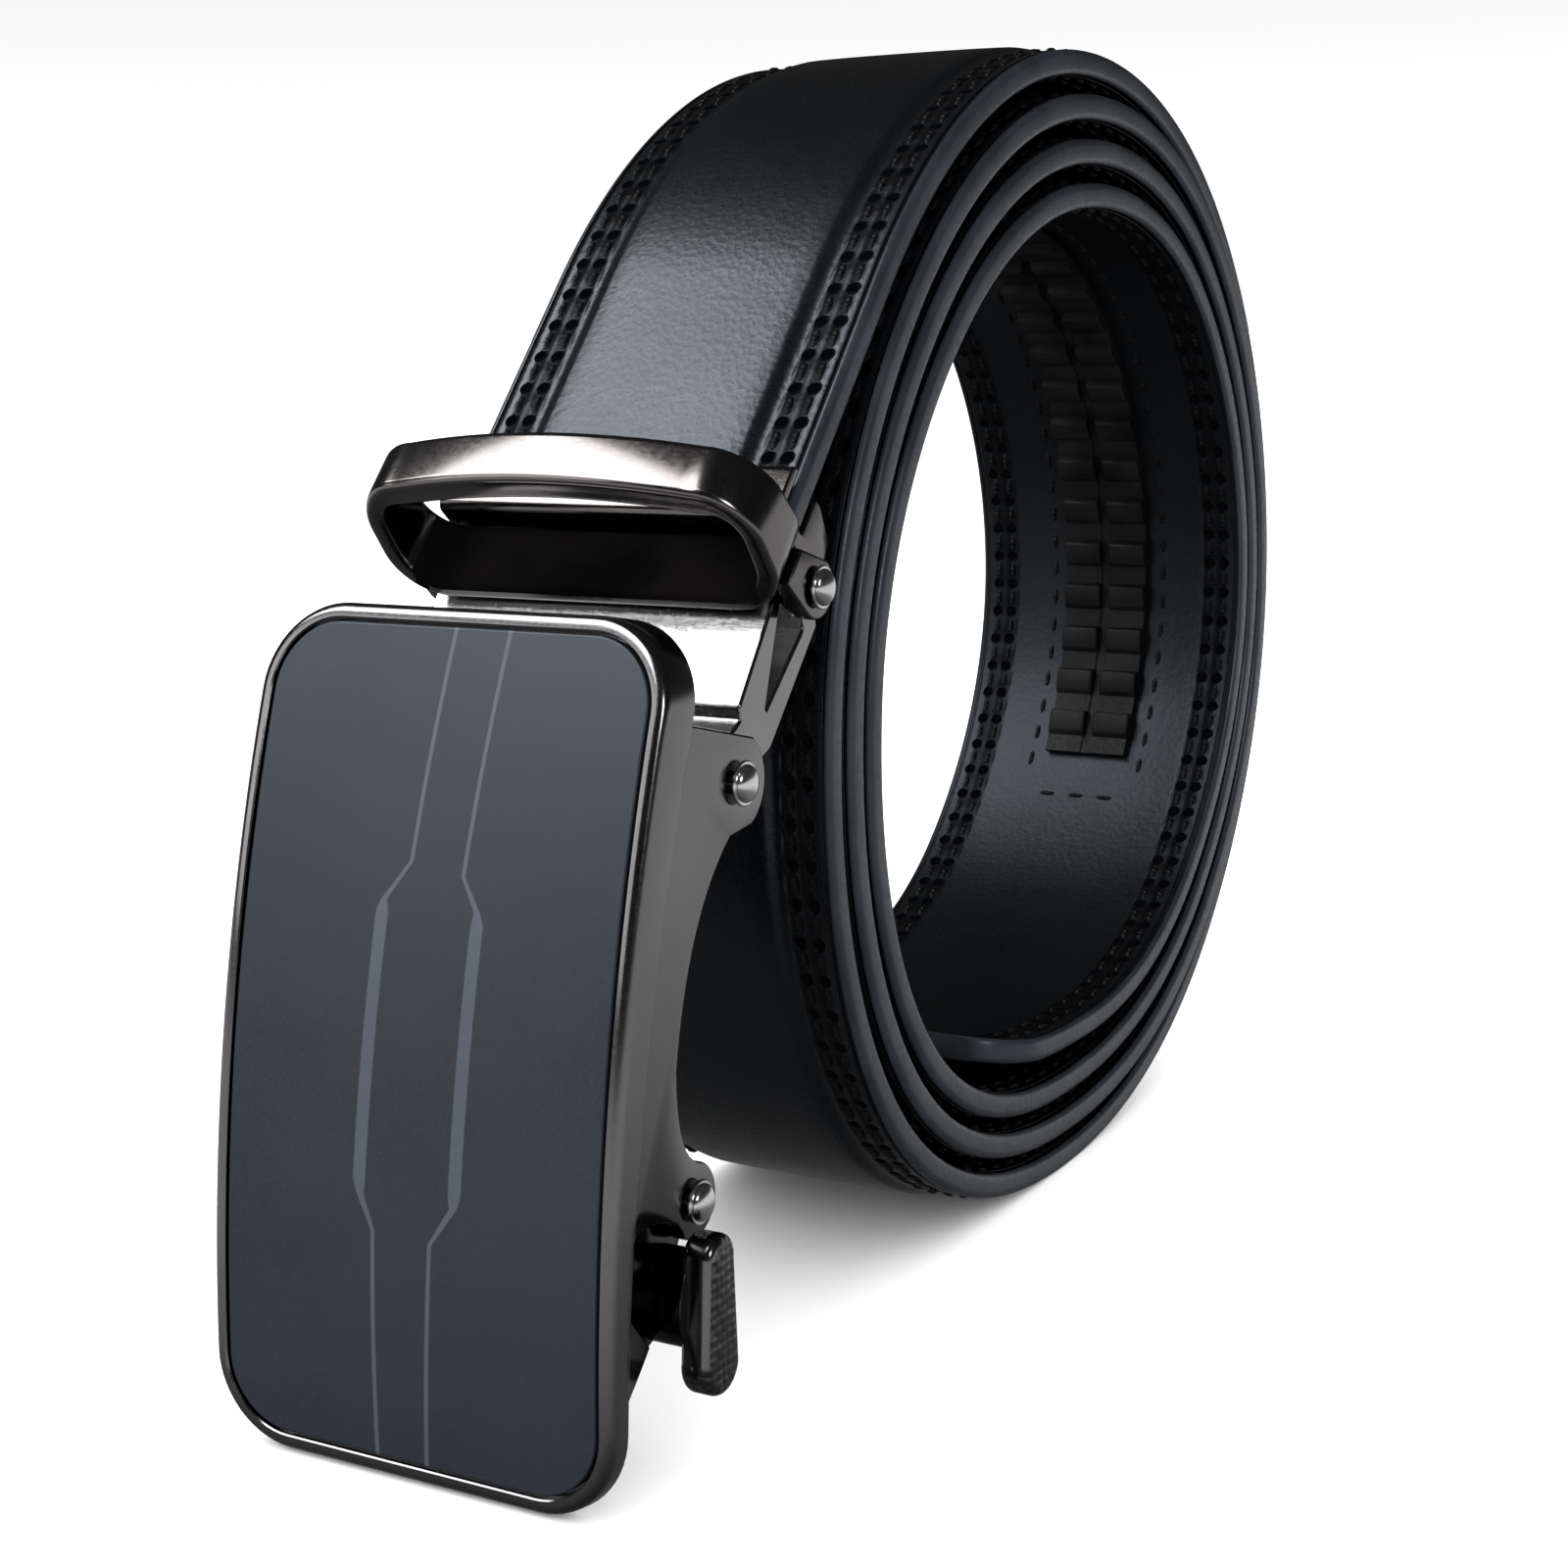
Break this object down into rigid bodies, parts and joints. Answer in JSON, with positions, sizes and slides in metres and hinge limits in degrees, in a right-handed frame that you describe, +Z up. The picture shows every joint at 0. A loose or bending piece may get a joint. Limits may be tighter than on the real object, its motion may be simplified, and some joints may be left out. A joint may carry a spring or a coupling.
{
  "type": "ratchet belt",
  "caption": "Coiled leather belt with a stitched padded strap, a toothed track, a keeper loop and a tall plate buckle on a hinged link.",
  "frame": {"origin": "the middle of the part's box, at the height of the floor that it rests on", "axes": "+X across the strap, -Y the side of the buckle's face, +Z up; the length runs along Y"},
  "size_m": [0.0444, 0.1616, 0.1194],
  "materials": {
    "leather": "smooth black leather with a soft sheen and dark painted edges",
    "track": "black moulded track, satin",
    "link_metal": "mirror polished",
    "buckle_metal": "polished gunmetal plating",
    "pin_metal": "polished pin heads",
    "panel": "dark blue-grey satin panel with two thin lighter stripes"
  },
  "bodies": {
    "strap_body": {"strap": "leather", "ratchet_track": "track", "strap_clamp": "link_metal", "keeper_loop": "buckle_metal", "upper_pin": "pin_metal"},
    "link": {"link_plate": "link_metal"},
    "buckle": {"buckle_frame": "buckle_metal", "face_panel": "panel", "lower_pin": "pin_metal", "pawl_pin": "pin_metal"},
    "lever": {"release_lever": "buckle_metal"}
  },
  "joints": [
    {"name": "link_hinge", "type": "hinge", "parent": "strap_body", "child": "link", "pos_m": [-0.00108, -0.04483, 0.07016], "axis": [1, 0, 0], "range_deg": [-4, 15]},
    {"name": "buckle_hinge", "type": "hinge", "parent": "link", "child": "buckle", "pos_m": [-0.00108, -0.05794, 0.05559], "axis": [1, 0, 0], "range_deg": [-25, 20]},
    {"name": "lever_hinge", "type": "hinge", "parent": "buckle", "child": "lever", "pos_m": [-0.00108, -0.06639, 0.02269], "axis": [1, 0, 0], "range_deg": [0, 20], "stiffness_Nm_per_rad": 0.02}
  ]
}
